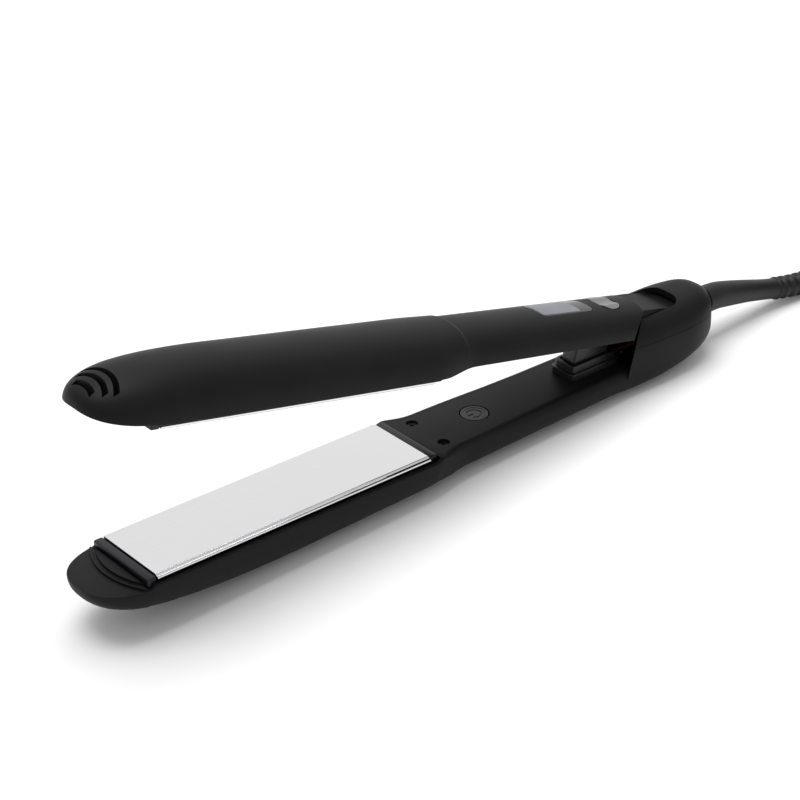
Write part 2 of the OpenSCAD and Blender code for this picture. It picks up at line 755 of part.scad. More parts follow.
// --- hinge ---
module hinge_bracket() {
    color("#8d9094") on_floor() difference() {
        union() {
            box([bracket_x0, -ear_in - ear_t, bracket_z], [bracket_x1, ear_in + ear_t, bracket_z + 1.2]);
            for (y = [-ear_in - ear_t, ear_in]) {
                box([157, y, bracket_z], [bracket_x1, y + ear_t, pivot_z]);
                box([160, y, -3], [pivot_x, y + ear_t, pivot_z]);
                translate([pivot_x, y + ear_t, pivot_z]) rotate([90, 0, 0]) cylinder(d = ear_d, h = ear_t);
            }
        }
        across(pivot_x, pivot_z, pin_d + 0.1, 40);
        for (y = [-1, 1]) translate([bracket_screw_x, y * bracket_screw_y, bracket_z - 1])
            cylinder(d = 2.6, h = 4);
    }
}
module hinge_pin() {
    color("#c3c6ca") on_floor() across(pivot_x, pivot_z, pin_d, 20.8);
}
module hinge_bushes() {
    color("#e4e1d6") in_upper() for (m = [0, 1]) mirror([0, m, 0]) difference() {
        union() {
            translate([pivot_x, -2.2, upper_pivot_z]) rotate([90, 0, 0]) cylinder(d = bush_d, h = 5.1);
            translate([pivot_x, -tongue_half, upper_pivot_z]) rotate([90, 0, 0]) cylinder(d = 7.6, h = 0.8);
        }
        across(pivot_x, upper_pivot_z, pin_d + 0.1, 30);
    }
}
module hinge_clips() {
    color("#6f7276") on_floor() for (m = [0, 1]) mirror([0, m, 0])
        translate([pivot_x, -ear_in - ear_t - 0.05, pivot_z]) rotate([90, 0, 0]) difference() {
            cylinder(d = 5, h = 0.6);
            translate([0, 0, -1]) cylinder(d = pin_d, h = 3);
        }
}

// --- fasteners ---
module panel_screws() {
    color("#2a2a2c") on_floor()
        for (y = [-1, 1]) screw(panel_screw_x, y * panel_screw_y, panel_z - 0.8, 3.7, 2, 6);
}
module upper_screws() {
    color("#2a2a2c") in_upper() for (y = [-1, 1])
        screw(panel_screw_x, y * panel_screw_y, upper_panel_z + 0.5, 3.7, 2, 5);
}
module housing_screws() {
    color("#2a2a2c") on_floor() for (y = [-1, 1])
        translate([housing_screw_x, y * housing_screw_y, 0]) mirror([0, 0, 1])
            screw(0, 0, -housing_screw_z, 4.4, 2, 14);
}

module bracket_screws() {
    color("#6f7276") on_floor()
        for (y = [-1, 1])
            screw(bracket_screw_x, y * bracket_screw_y, bracket_z + 2.6, 4, 2, 3.6);
}

// --- cord outlet ---
module swivel_stem() {
    color("#2b2b2d") on_floor() translate([172.6, 0, cord_z]) rotate([0, 90, 0]) difference() {
        union() {
            cylinder(d = 11.6, h = 2);
            cylinder(d = outlet_d - 0.5, h = rear_reach - 172.4);
        }
        translate([0, 0, -1]) cylinder(d = 4, h = 20);
    }
}
module swivel_bush() {
    color("#d8d5ca") on_floor() translate([174.8, 0, cord_z]) rotate([0, 90, 0]) difference() {
        cylinder(d = 11.8, h = 2);
        translate([0, 0, -1]) cylinder(d = outlet_d - 0.4, h = 4);
    }
}

// --- cord, in the frame of the surface that it lies on ---
module strain_relief() {
    path = curve(relief_route, 6);
    last = len(path) - 1;
    color("#161617") tube(path, [
        for (j = [0 : last]) let (s = j / last)
            s < 0.6 ? mix(relief_root_d, relief_tip_d, ease(s, 0, 0.6))
            : relief_tip_d + (j % 2 == 0 ? 0.9 : -0.4)
    ], 12);
}
module cord() {
    color("#161617") tube(curve(lead_route, 3), cord_d, 10);
}
module cord_tail() {
    color("#161617") tube(curve(tail_route, 2), cord_d, 10);
}
// Outline of the hank, a given distance out from the line between its folds
module hank_outline(reach) {
    translate([-hank_run / 2, -reach]) square([hank_run, 2 * reach]);
    for (s = [-1, 1]) translate([s * hank_run / 2, 0]) circle(reach);
}
module cord_hank() {
    color("#161617") translate([hank_x, hank_y, 0]) linear_extrude(hank_h) difference() {
        hank_outline(hank_out);
        hank_outline(hank_in);
    }
}
module cord_tie() {
    color("#232325") translate([tie_x, hank_y, 0]) difference() {
        box([-tie_w / 2, -hank_out - tie_t, 0], [tie_w / 2, hank_out + tie_t, hank_h + tie_t]);
        box([-tie_w, -hank_out, tie_t / 2], [tie_w, hank_out, hank_h]);
    }
}
// Flat two-pin plug with a sleeve at its rear, nested between the hank's runs
module plug_body() {
    color("#161617") translate([plug_x, hank_y, plug_z]) {
        difference() {
            rotate([90, 0, 90]) linear_extrude(plug_l) union() {
                square([plug_w - plug_t, plug_t], center = true);
                for (s = [-1, 1]) translate([s * (plug_w - plug_t) / 2, 0]) circle(d = plug_t);
            }
            for (s = [-1, 1]) {
                translate([plug_l * 0.42, s * (plug_w / 2 + 4), -plug_t])
                    cylinder(r = 8, h = 2 * plug_t);
                translate([plug_l - pin_socket, s * pin_pitch / 2, 0]) rotate([0, 90, 0])
                    cylinder(d = pin_dia, h = pin_l);
            }
        }
        translate([-plug_sleeve, 0, 0]) rotate([0, 90, 0])
            cylinder(d = cord_d + 2.6, h = plug_sleeve + 0.5);
    }
}
module plug_pins() {
    color("#cfc9b4") for (s = [-1, 1])
        translate([plug_x + plug_l - pin_socket, hank_y + s * pin_pitch / 2, plug_z])
            rotate([0, 90, 0]) {
                cylinder(d = pin_dia, h = pin_l);
                translate([0, 0, pin_l]) sphere(d = pin_dia);
            }
}

// --- internal leads between the cord outlet and the control board ---
module mains_leads() {
    color("#5b3a21") on_floor() for (s = [-1, 1])
        tube(curve([
            [171.7, 0.9 * s, cord_z - 0.2], [170.9, 2 * s, 0], [168, 2.6 * s, -2.4],
            [160, 2.4 * s, -2.6], [154, 3 * s, -2.8], [148, 5 * s, -4.2], [140, 6.2 * s, -4.6],
            [132, 6.6 * s, -4.8], [124, 6.4 * s, -4.8], [116, 6 * s, -5], [111.6, 6 * s, -5.4]
        ], 3), 1.4, 8);
}

lower_shell();
lower_panel();
housing_cover();
lower_carrier();
lower_plate();
lower_heater();
lower_heater_clip();
lower_cushions();
lower_fuse();
upper_shell();
upper_panel();
upper_carrier();
upper_plate();
upper_heater();
upper_heater_clip();
upper_cushions();
upper_fuse();
power_button();
power_switch();
control_board();
display_lens();
display_module();
display_board();
rocker_key();
rocker_switches();
guard_sleeve();
guard_plunger();
opening_spring();
hinge_bracket();
hinge_pin();
hinge_bushes();
hinge_clips();
panel_screws();
upper_screws();
carrier_screws();
upper_carrier_screws();
housing_screws();
bracket_screws();
swivel_stem();
swivel_bush();
mains_leads();
strain_relief();
cord();
cord_hank();
cord_tail();
cord_tie();
plug_body();
plug_pins();
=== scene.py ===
"""Looks of the flat iron: smooth casings, polished plates, controls, guard, strain relief and cord.

Shapes of the two arms are written in millimetres in each arm's own flat frame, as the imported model
has them: X from nose to rear, the plate face at z = 0 and the arm's body below it. LOWER and UPPER
carry those frames into the shared frame, in metres.
"""
import json
import math
import bmesh
import bpy
from mathutils import Matrix, Vector


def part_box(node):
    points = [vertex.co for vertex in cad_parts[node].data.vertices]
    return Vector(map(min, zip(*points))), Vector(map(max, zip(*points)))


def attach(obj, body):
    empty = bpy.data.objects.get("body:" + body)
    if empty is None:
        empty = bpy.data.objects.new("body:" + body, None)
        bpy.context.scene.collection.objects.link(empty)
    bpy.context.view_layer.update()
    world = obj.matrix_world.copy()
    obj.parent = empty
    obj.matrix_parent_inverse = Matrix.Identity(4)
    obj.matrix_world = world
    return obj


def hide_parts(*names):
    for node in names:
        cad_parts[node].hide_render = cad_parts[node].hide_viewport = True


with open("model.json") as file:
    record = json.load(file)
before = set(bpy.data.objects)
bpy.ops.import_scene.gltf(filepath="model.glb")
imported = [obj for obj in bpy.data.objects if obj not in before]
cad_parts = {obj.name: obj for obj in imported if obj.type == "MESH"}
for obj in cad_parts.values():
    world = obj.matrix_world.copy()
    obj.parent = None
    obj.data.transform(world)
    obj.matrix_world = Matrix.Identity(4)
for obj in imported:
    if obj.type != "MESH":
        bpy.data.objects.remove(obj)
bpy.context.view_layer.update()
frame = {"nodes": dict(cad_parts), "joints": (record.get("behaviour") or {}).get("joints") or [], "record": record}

MM = 0.001

# --- the arms' frames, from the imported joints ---
JOINTS = {j["name"]: j for j in frame["joints"]}
PLATE_UP = JOINTS["lower_plate_float"]["axis"]
TILT = math.atan2(PLATE_UP[0], PLATE_UP[2])
OPENING = math.radians(max(JOINTS["arm_hinge"]["range_deg"]))
PIVOT_ROW = Vector(JOINTS["arm_hinge"]["pos_m"])
PIVOT_X, PIVOT_Z = 164.7, 4.9
CLOSED_GAP = 0.3


def arm_matrix(turn):
    return (
        Matrix.Translation(PIVOT_ROW)
        @ Matrix.Rotation(turn, 4, "Y")
        @ Matrix.Translation((-PIVOT_X * MM, 0, -PIVOT_Z * MM))
        @ Matrix.Scale(MM, 4)
    )


LOWER = arm_matrix(TILT)
UPPER = (
    arm_matrix(TILT + OPENING)
    @ Matrix.Translation((0, 0, CLOSED_GAP))
    @ Matrix.Diagonal((1, 1, -1, 1))
)
ROW = Matrix.Identity(4)


# --- camera: at the photograph's viewing angle, placed in the lower arm's frame ---
def add_camera():
    place = Vector((-357.7, -484.7, 367.3))
    yaw, pitch = 0.872, -0.5089
    ahead = Vector((math.cos(pitch) * math.cos(yaw), math.cos(pitch) * math.sin(yaw), math.sin(pitch)))
    right = Vector((math.sin(yaw), -math.cos(yaw), 0))
    turn = LOWER.to_3x3().normalized()
    ahead, right = turn @ ahead, turn @ right
    up = right.cross(ahead)
    data = bpy.data.cameras.new("camera")
    data.lens, data.sensor_width = 108, 36
    data.clip_start, data.clip_end = 0.01, 20
    camera = bpy.data.objects.new("camera", data)
    bpy.context.scene.collection.objects.link(camera)
    turned = Matrix((right, up, -ahead)).transposed().to_4x4()
    camera.matrix_world = Matrix.Translation(LOWER @ place) @ turned
    bpy.context.scene.camera = camera


add_camera()


# ------------------------------------------------------------------ materials
DRIFT_SCALE, LINE_SCALE = 45, 30
NOISE_LOW, NOISE_HIGH = 0.3, 0.7


def node_material(name):
    material = bpy.data.materials.new(name)
    material.use_nodes = True
    nodes, links = material.node_tree.nodes, material.node_tree.links
    shader = nodes["Principled BSDF"]
    place = nodes.new("ShaderNodeTexCoord")
    return material, nodes, links, shader, place.outputs["Object"]


def noise(nodes, links, place, scale, detail=3, stretch=None):
    texture = nodes.new("ShaderNodeTexNoise")
    texture.inputs["Scale"].default_value = scale
    texture.inputs["Detail"].default_value = detail
    if stretch:
        mapping = nodes.new("ShaderNodeMapping")
        mapping.inputs["Scale"].default_value = stretch
        links.new(place, mapping.inputs["Vector"])
        place = mapping.outputs["Vector"]
    links.new(place, texture.inputs["Vector"])
    return texture.outputs["Fac"]


def ranged(nodes, links, value, low, high):
    node = nodes.new("ShaderNodeMapRange")
    node.inputs["From Min"].default_value = NOISE_LOW
    node.inputs["From Max"].default_value = NOISE_HIGH
    node.inputs["To Min"].default_value = low
    node.inputs["To Max"].default_value = high
    links.new(value, node.inputs["Value"])
    return node.outputs["Result"]


def blended(nodes, links, value, dark, light):
    ramp = nodes.new("ShaderNodeValToRGB")
    ramp.color_ramp.elements[0].position = NOISE_LOW
    ramp.color_ramp.elements[1].position = NOISE_HIGH
    ramp.color_ramp.elements[0].color = (*dark, 1)
    ramp.color_ramp.elements[1].color = (*light, 1)
    links.new(value, ramp.inputs["Fac"])
    return ramp.outputs["Color"]


def bumped(nodes, links, shader, height, strength, distance):
    bump = nodes.new("ShaderNodeBump")
    bump.inputs["Strength"].default_value = strength
    bump.inputs["Distance"].default_value = distance
    links.new(height, bump.inputs["Height"])
    links.new(bump.outputs["Normal"], shader.inputs["Normal"])


def moulded(name, dark, light, rough, grain=1600, depth=0.02, coat=0.0, specular=0.4):
    """Moulded plastic or rubber: a fine grain, faint handling marks and a soft colour drift."""
    material, nodes, links, shader, place = node_material(name)
    drift = noise(nodes, links, place, DRIFT_SCALE, 4)
    fine = noise(nodes, links, place, grain, 2)
    links.new(blended(nodes, links, drift, dark, light), shader.inputs["Base Color"])
    links.new(ranged(nodes, links, drift, *rough), shader.inputs["Roughness"])
    shader.inputs["Specular IOR Level"].default_value = specular
    shader.inputs["Coat Weight"].default_value = coat
    shader.inputs["Coat Roughness"].default_value = 0.06
    bumped(nodes, links, shader, fine, 0.35, depth * MM)
    return material


def metal(name, dark, light, rough, stretch=(4, 240, 240), depth=0.004):
    """Metal with fine drawn or polished lines along X."""
    material, nodes, links, shader, place = node_material(name)
    lines = noise(nodes, links, place, LINE_SCALE, 4, stretch)
    links.new(blended(nodes, links, lines, dark, light), shader.inputs["Base Color"])
    links.new(ranged(nodes, links, lines, *rough), shader.inputs["Roughness"])
    shader.inputs["Metallic"].default_value = 1.0
    bumped(nodes, links, shader, lines, 0.15, depth * MM)
    return material


def board_material(name):
    """Green solder mask with paler tracks."""
    material, nodes, links, shader, place = node_material(name)
    brick = nodes.new("ShaderNodeTexBrick")
    brick.inputs["Scale"].default_value = 220
    brick.inputs["Mortar Size"].default_value = 0.06
    brick.inputs["Color1"].default_value = (0.012, 0.075, 0.03, 1)
    brick.inputs["Color2"].default_value = (0.016, 0.095, 0.038, 1)
    brick.inputs["Mortar"].default_value = (0.04, 0.2, 0.09, 1)
    links.new(place, brick.inputs["Vector"])
    links.new(brick.outputs["Color"], shader.inputs["Base Color"])
    shader.inputs["Roughness"].default_value = 0.35
    bumped(nodes, links, shader, brick.outputs["Fac"], 0.2, 0.02 * MM)
    return material


def strap_material(name):
    """Woven hook-and-loop strap."""
    material, nodes, links, shader, place = node_material(name)
    weave = nodes.new("ShaderNodeTexChecker")
    weave.inputs["Scale"].default_value = 1400
    weave.inputs["Color1"].default_value = (0.012, 0.012, 0.013, 1)
    weave.inputs["Color2"].default_value = (0.035, 0.035, 0.037, 1)
    links.new(place, weave.inputs["Vector"])
    links.new(weave.outputs["Color"], shader.inputs["Base Color"])
    shader.inputs["Roughness"].default_value = 0.9
    bumped(nodes, links, shader, noise(nodes, links, place, 900, 3), 0.6, 0.15 * MM)
    return material


def display_material(name):
    """Liquid crystal display: grey-violet with a faint pixel grid, under a clear gloss."""
    material, nodes, links, shader, place = node_material(name)
    drift = noise(nodes, links, place, 60, 1)
    tint = blended(nodes, links, drift, (0.16, 0.16, 0.19), (0.22, 0.22, 0.25))
    links.new(tint, shader.inputs["Base Color"])
    shader.inputs["Roughness"].default_value = 0.45
    shader.inputs["Specular IOR Level"].default_value = 0.3
    grid = nodes.new("ShaderNodeTexChecker")
    grid.inputs["Scale"].default_value = 1900
    links.new(place, grid.inputs["Vector"])
    bumped(nodes, links, shader, grid.outputs["Fac"], 0.05, 0.01 * MM)
    return material


MATERIALS = {
    "soft_black": moulded("soft_black", (0.0045, 0.0045, 0.005), (0.007, 0.007, 0.0075), (0.44, 0.52),
                          grain=2200, depth=0.012, specular=0.13),
    "inner_black": moulded("inner_black", (0.006, 0.006, 0.007), (0.009, 0.009, 0.010), (0.42, 0.50),
                           grain=2400, depth=0.012, specular=0.15),
    "gloss_black": moulded("gloss_black", (0.004, 0.0045, 0.008), (0.006, 0.0065, 0.011), (0.30, 0.40),
                           grain=700, depth=0.006, coat=0.1, specular=0.25),
    "mirror_plate": metal("mirror_plate", (0.78, 0.78, 0.79), (0.80, 0.80, 0.81), (0.06, 0.09),
                          stretch=(1.5, 90, 90), depth=0.0003),
    "ceramic": moulded("ceramic", (0.72, 0.70, 0.64), (0.82, 0.80, 0.75), (0.35, 0.5), grain=1500),
    "spring_steel": metal("spring_steel", (0.42, 0.43, 0.44), (0.6, 0.61, 0.62), (0.25, 0.38)),
    "silicone": moulded("silicone", (0.30, 0.045, 0.03), (0.42, 0.07, 0.045), (0.5, 0.62), grain=900),
    "tin_can": metal("tin_can", (0.5, 0.5, 0.48), (0.66, 0.66, 0.64), (0.3, 0.42)),
    "board_green": board_material("board_green"),
    "switch_black": moulded("switch_black", (0.018, 0.018, 0.02), (0.03, 0.03, 0.032), (0.4, 0.5)),
    "button_black": moulded("button_black", (0.014, 0.014, 0.016), (0.020, 0.020, 0.022), (0.36, 0.44),
                            grain=2400, depth=0.01, specular=0.45),
    "smoked_lens": moulded("smoked_lens", (0.010, 0.010, 0.012), (0.016, 0.016, 0.019), (0.2, 0.28),
                           grain=300, depth=0.003, coat=0.15, specular=0.4),
    "display_grey": display_material("display_grey"),
    "silver_key": metal("silver_key", (0.20, 0.20, 0.21), (0.24, 0.24, 0.25), (0.30, 0.36),
                        stretch=(1, 1, 1), depth=0.0003),
    "guard_black": moulded("guard_black", (0.007, 0.007, 0.008), (0.011, 0.011, 0.012), (0.30, 0.40),
                           grain=1800, depth=0.01, specular=0.45),
    "zinc_steel": metal("zinc_steel", (0.40, 0.41, 0.43), (0.56, 0.57, 0.59), (0.3, 0.45)),
    "pin_steel": metal("pin_steel", (0.55, 0.56, 0.58), (0.68, 0.69, 0.71), (0.18, 0.28)),
    "acetal": moulded("acetal", (0.66, 0.64, 0.58), (0.74, 0.72, 0.67), (0.35, 0.45)),
    "black_screw": metal("black_screw", (0.03, 0.03, 0.033), (0.055, 0.055, 0.06), (0.35, 0.5)),
    "relief_rubber": moulded("relief_rubber", (0.007, 0.007, 0.0075), (0.011, 0.011, 0.0115), (0.42, 0.52),
                             grain=1500, depth=0.03, specular=0.3),
    "cord_rubber": moulded("cord_rubber", (0.010, 0.010, 0.0105), (0.016, 0.016, 0.017), (0.48, 0.6),
                           grain=1300, depth=0.03, specular=0.35),
    "lead_brown": moulded("lead_brown", (0.10, 0.035, 0.015), (0.14, 0.05, 0.02), (0.4, 0.5)),
    "tie_black": strap_material("tie_black"),
    "plug_black": moulded("plug_black", (0.012, 0.012, 0.0125), (0.018, 0.018, 0.019), (0.44, 0.55),
                          grain=1100, depth=0.04, specular=0.4),
    "pin_nickel": metal("pin_nickel", (0.52, 0.50, 0.44), (0.66, 0.64, 0.57), (0.2, 0.3)),
}


def paint(piece, slot):
    piece.data.materials.clear()
    piece.data.materials.append(MATERIALS[slot])
    return piece


for part in frame["record"]["subparts"]:
    paint(frame["nodes"][part["node"]], part["material_slot"])


# ------------------------------------------------------------------ mesh helpers
TINY = 1e-6


def finish_mesh(mesh, sharp_degrees=38):
    """Smooth shading, split where faces meet at more than the given angle."""
    bm = bmesh.new()
    bm.from_mesh(mesh)
    bmesh.ops.recalc_face_normals(bm, faces=bm.faces)
    for face in bm.faces:
        face.smooth = True
    limit = math.radians(sharp_degrees)
    for edge in bm.edges:
        edge.smooth = len(edge.link_faces) == 2 and edge.calc_face_angle(0) < limit
    bm.to_mesh(mesh)
    bm.free()


def placed(name, bm, where):
    """A mesh object from bmesh geometry in an arm's frame."""
    bm.transform(where)
    bmesh.ops.recalc_face_normals(bm, faces=bm.faces)
    mesh = bpy.data.meshes.new(name)
    bm.to_mesh(mesh)
    bm.free()
    piece = bpy.data.objects.new(name, mesh)
    bpy.context.scene.collection.objects.link(piece)
    return piece


def carve(piece, *cuts):
    """Applies (operation, cutter) pairs and removes the cutters."""
    for operation, cutter in cuts:
        step = piece.modifiers.new("carve", "BOOLEAN")
        step.operation, step.object, step.solver = operation, cutter, "EXACT"
    bpy.context.view_layer.update()
    seen = piece.evaluated_get(bpy.context.evaluated_depsgraph_get())
    mesh = bpy.data.meshes.new_from_object(seen)
    piece.modifiers.clear()
    old, piece.data = piece.data, mesh
    bpy.data.meshes.remove(old)
    for _, cutter in cuts:
        bpy.data.objects.remove(cutter)
    return piece


def cut(name, bm, where):
    """A pair for carve that takes the shape away."""
    return "DIFFERENCE", placed(name, bm, where)


def join(name, *pieces):
    bm = bmesh.new()
    for piece in pieces:
        bm.from_mesh(piece.data)
        bpy.data.objects.remove(piece)
    return placed(name, bm, ROW)


def finished(piece, body, slot, *nodes, sharp=38):
    finish_mesh(piece.data, sharp)
    paint(piece, slot)
    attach(piece, body)
    if nodes:
        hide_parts(*nodes)
    return piece


def loft(stations):
    """Closed skin over a list of (x, [(y, z), ...])."""
    bm = bmesh.new()
    rings = [[bm.verts.new((x, y, z)) for y, z in section] for x, section in stations]
    count = len(rings[0])
    for a, b in zip(rings, rings[1:]):
        for i in range(count):
            k = (i + 1) % count
            bm.faces.new((a[i], a[k], b[k], b[i]))
    bm.faces.new(rings[0][::-1])
    bm.faces.new(rings[-1])
    return bm


def prism(outline, z0, z1, bevel=0.0):
    """Outline in X and Y, raised from z0 to z1, with its upper rim rounded."""
    bm = bmesh.new()
    base = [bm.verts.new((x, y, z0)) for x, y in outline]
    top = [bm.verts.new((x, y, z1)) for x, y in outline]
    count = len(outline)
    for i in range(count):
        k = (i + 1) % count
        bm.faces.new((base[i], base[k], top[k], top[i]))
    bm.faces.new(base[::-1])
    bm.faces.new(top)
    if bevel:
        rim = [e for e in bm.edges if all(abs(v.co.z - max(z0, z1)) < TINY for v in e.verts)]
        bmesh.ops.bevel(bm, geom=rim, offset=bevel, segments=3, affect="EDGES", profile=0.6)
    return bm


def block(low, high):
    outline = [(low[0], low[1]), (high[0], low[1]), (high[0], high[1]), (low[0], high[1])]
    return prism(outline, low[2], high[2])


def rounded_outline(x0, x1, half, radius, y=0.0, steps=8):
    corners = [(x1 - radius, half - radius, 0), (x0 + radius, half - radius, 90),
               (x0 + radius, radius - half, 180), (x1 - radius, radius - half, 270)]
    return [
        (cx + radius * math.cos(math.radians(start + 90 * i / steps)),
         y + cy + radius * math.sin(math.radians(start + 90 * i / steps)))
        for cx, cy, start in corners for i in range(steps + 1)
    ]


def disc_outline(x, y, radius, steps=48):
    return [(x + radius * math.cos(math.tau * i / steps), y + radius * math.sin(math.tau * i / steps))
            for i in range(steps)]


def lathe(profile, steps=48):
    """Profile of (along, radius) turned about X."""
    turns = [math.tau * i / steps for i in range(steps)]
    return loft([(x, [(r * math.cos(a), r * math.sin(a)) for a in turns]) for x, r in profile])


# ------------------------------------------------------------------ the arms' forms
NOSE_X, UPPER_NOSE_X, NOSE_ROOT = -68.0, -70.0, -44.0
ARM_W, WAIST_W, HEEL_W, HOUSING_W = 31.0, 26.0, 25.0, 27.0
LOWER_DEPTH, UPPER_DEPTH, RIM_Z = 17.5, 15.7, -2.3
PANEL_Z, PANEL_T = -1.4, 1.6
NOSE_Z, UPPER_NOSE_Z, LIFT_X = -3.9, -5.0, 8.0
HOUSING_X, HOUSING_TOP, HOUSING_MID, SEAM_Z = 135.8, 14.0, 1.6, 6.2
REAR_REACH, CHEEK_X, SLOT_HALF, SLOT_REAR = 181.5, 139.3, 7.5, 164.0
SHOULDER_Z, SHOULDER_LEAN = 12.4, math.radians(15)
PANEL_FRONT, PANEL_REAR, PANEL_INSET = 54.0, 138.2, 0.9
BUTTON_X, CONTROLS_Y, ROCKER_X, PLATE_END = 79.8, 0.8, 133.2, 50.0
PANEL_SCREW, PANEL_SCREW_HOLE = (60.7, 7.5), 1.95
HOUSING_SCREW, HOUSING_SCREW_HOLE, HOUSING_WALL = (150.5, 9.2), 2.45, 2.0
STEP_CENTRE, STEP_REAR, STEP_HALF = -33.0, -53.6, 14.3
RIM_BEND, TONGUE_HALF = -52, 7.1
TRAY_ROOM = (-53.35, -13.75, -7.35), (53.75, 13.75, 10)
UPPER_TRAY_ROOM = (-53.35, -13.75, -7.35), (53.75, 13.2, 10)
GUARD_ROOM = (116.9, -5.4, -9.2), (PANEL_REAR, 5.4, 10)
SLIDER_BORE = (122.1, -2.3), (134.5, 2.3)
WINDOW_HOLE = 101.1, 124.3, 5.3, 2.4
WINDOW_LENS = 101.2, 124.2, 5.2, 2.4
UNDER_SLOPE, BACK_SLOPE = math.tan(TILT), math.tan(math.radians(1.1))


def clamp01(t):
    return min(max(t, 0.0), 1.0)


def mix(a, b, t):
    return a + (b - a) * t


def ease(x, start, end):
    t = clamp01((x - start) / (end - start))
    return t * t * (3 - 2 * t)


def cap(s, n):
    return (1 - clamp01(s) ** n) ** (1 / n)


def power(v, n):
    return math.copysign(abs(v) ** (2 / n), v)


def arm_half(x, tip=NOSE_X):
    waist = mix(ARM_W, WAIST_W, ease(x, 50, 68))
    taper = clamp01((x - 68) / (HOUSING_X - 68))
    return mix(waist, HEEL_W, taper) / 2 * cap((NOSE_ROOT - x) / (NOSE_ROOT - tip), 2.5)


def face_half(x):
    return mix(arm_half(x) - 0.25, mix(11.8, 9.9, ease(x, 66, 112)), ease(x, 52, 64))


def housing_half(x):
    return mix(HEEL_W - 0.2, HOUSING_W, ease(x, 134, 152)) / 2 * cap((x - 161) / (REAR_REACH - 161), 2.1)


def under_line(x):
    return -LOWER_DEPTH + UNDER_SLOPE * x


def lower_under(x):
    lifted = mix(NOSE_Z - 0.6, under_line(x), cap((LIFT_X - x) / (LIFT_X - NOSE_X), 1.95))
    return lifted + 0.9 * ease(x, 60, 66) * (1 - ease(x, 128, 138))


def back_line(x):
    return -UPPER_DEPTH + BACK_SLOPE * x + 0.5 * ease(x, 63, 64.2)


def upper_back(x):
    return mix(UPPER_NOSE_Z - 0.6, back_line(x), cap((-22 - x) / (-22 - UPPER_NOSE_X), 2.2))


def lower_top(x):
    if x < RIM_BEND:
        return mix(NOSE_Z + 0.6, -3.4, cap((RIM_BEND - x) / (RIM_BEND - NOSE_X), 2))
    return mix(RIM_Z, PANEL_Z, ease(x, 52, 55))


def upper_top(x):
    if x < RIM_BEND:
        return mix(UPPER_NOSE_Z + 0.6, -2.6, cap((RIM_BEND - x) / (RIM_BEND - UPPER_NOSE_X), 2))
    return mix(RIM_Z, -3.6, ease(x, 53, 66))


def bulge(x):
    return 0.2 + 3.4 * ease(x, 52, 66)


def housing_up(x):
    return mix(HOUSING_MID, HOUSING_TOP, cap((x - 171) / (REAR_REACH - 171), 3))


def housing_down(x):
    return mix(HOUSING_MID, under_line(x), cap((x - 147) / (REAR_REACH - 147), 2.2))


def belly(half, face, top, drop, low, n, steps=44):
    """A channel's section: flat inner face, round shoulders, then a belly."""
    mid = top - drop
    shoulder = [(0.0, 0.0), (0.2, 0.03), (0.5, 0.16), (0.75, 0.36), (0.92, 0.66)]
    near = [(mix(face, half, s), top - drop * d) for s, d in shoulder]
    around = []
    for i in range(steps + 1):
        t = math.pi * i / steps
        around.append((half * power(math.cos(t), n), mid + (low - mid) * power(abs(math.sin(t)), n)))
    far = [(-y, z) for y, z in reversed(near)]
    return near + around + far


def ring(half, top, mid, low_mid, low, n, low_n, steps=64):
    """A closed section whose sides are upright between low_mid and mid."""
    section = []
    for i in range(steps):
        t = -math.tau * (i + 0.5) / steps
        s = math.sin(t)
        if s < 0:
            section.append((half * power(math.cos(t), low_n), low_mid + (low_mid - low) * power(s, low_n)))
        else:
            section.append((half * power(math.cos(t), n), mid + (top - mid) * power(s, n)))
    return section


def nose_stations(tip, count=26):
    return [mix(NOSE_ROOT, tip + 0.04, math.cos(math.pi / 2 * i / count)) for i in range(count + 1)]


def spaced(start, end, step):
    count = max(1, round((end - start) / step))
    return [mix(start, end, i / count) for i in range(1, count + 1)]


def body_stations(end):
    return spaced(NOSE_ROOT, 50, 3) + spaced(50, 62, 0.75) + spaced(62, 65, 0.3) + spaced(65, end, 1.8)


def lower_form():
    return loft([
        (x, belly(arm_half(x), face_half(x), lower_top(x), bulge(x), lower_under(x), 2.4))
        for x in nose_stations(NOSE_X) + body_stations(138.4)
    ])


def upper_form(swell=0.0):
    """Skin of the upper arm; swell moves its back outward."""
    stations = []
    for x in nose_stations(UPPER_NOSE_X) + body_stations(146):
        half = arm_half(x, UPPER_NOSE_X)
        stations.append((x, belly(half, half - 0.3, upper_top(x), 0.4, upper_back(x) - swell, 2.2)))
    return loft(stations)


def upper_hollow():
    """Room inside the upper arm, open at its inner face."""
    stations = []
    for x in [-52.9, -44] + spaced(-44, 137.4, 4):
        half = arm_half(max(x, -30)) - 1.8
        low = upper_back(max(x, -40)) + 2
        belly_line = [
            (half * power(math.cos(t), 2.2), -4 + (low + 4) * power(abs(math.sin(t)), 2.2))
            for t in [math.pi * i / 28 for i in range(29)]
        ]
        stations.append((x, [(half, 20)] + belly_line + [(-half, 20)]))
    return loft(stations)


def housing_form(inset=0.0):
    rear = REAR_REACH - 0.05 - inset
    xs = spaced(131, 156, 1.5)
    xs += [mix(156, rear, math.sin(math.pi / 2 * i / 30)) for i in range(1, 31)]
    return loft([
        (x, ring(
            max(housing_half(x) - inset, 0.4), housing_up(x) - inset, HOUSING_MID,
            mix(-5, HOUSING_MID, ease(x, 138, 170)) if inset == 0 else HOUSING_MID,
            housing_down(x) + inset, 2.8, mix(2.4, 2.8, ease(x, 138, 160))))
        for x in xs
    ])


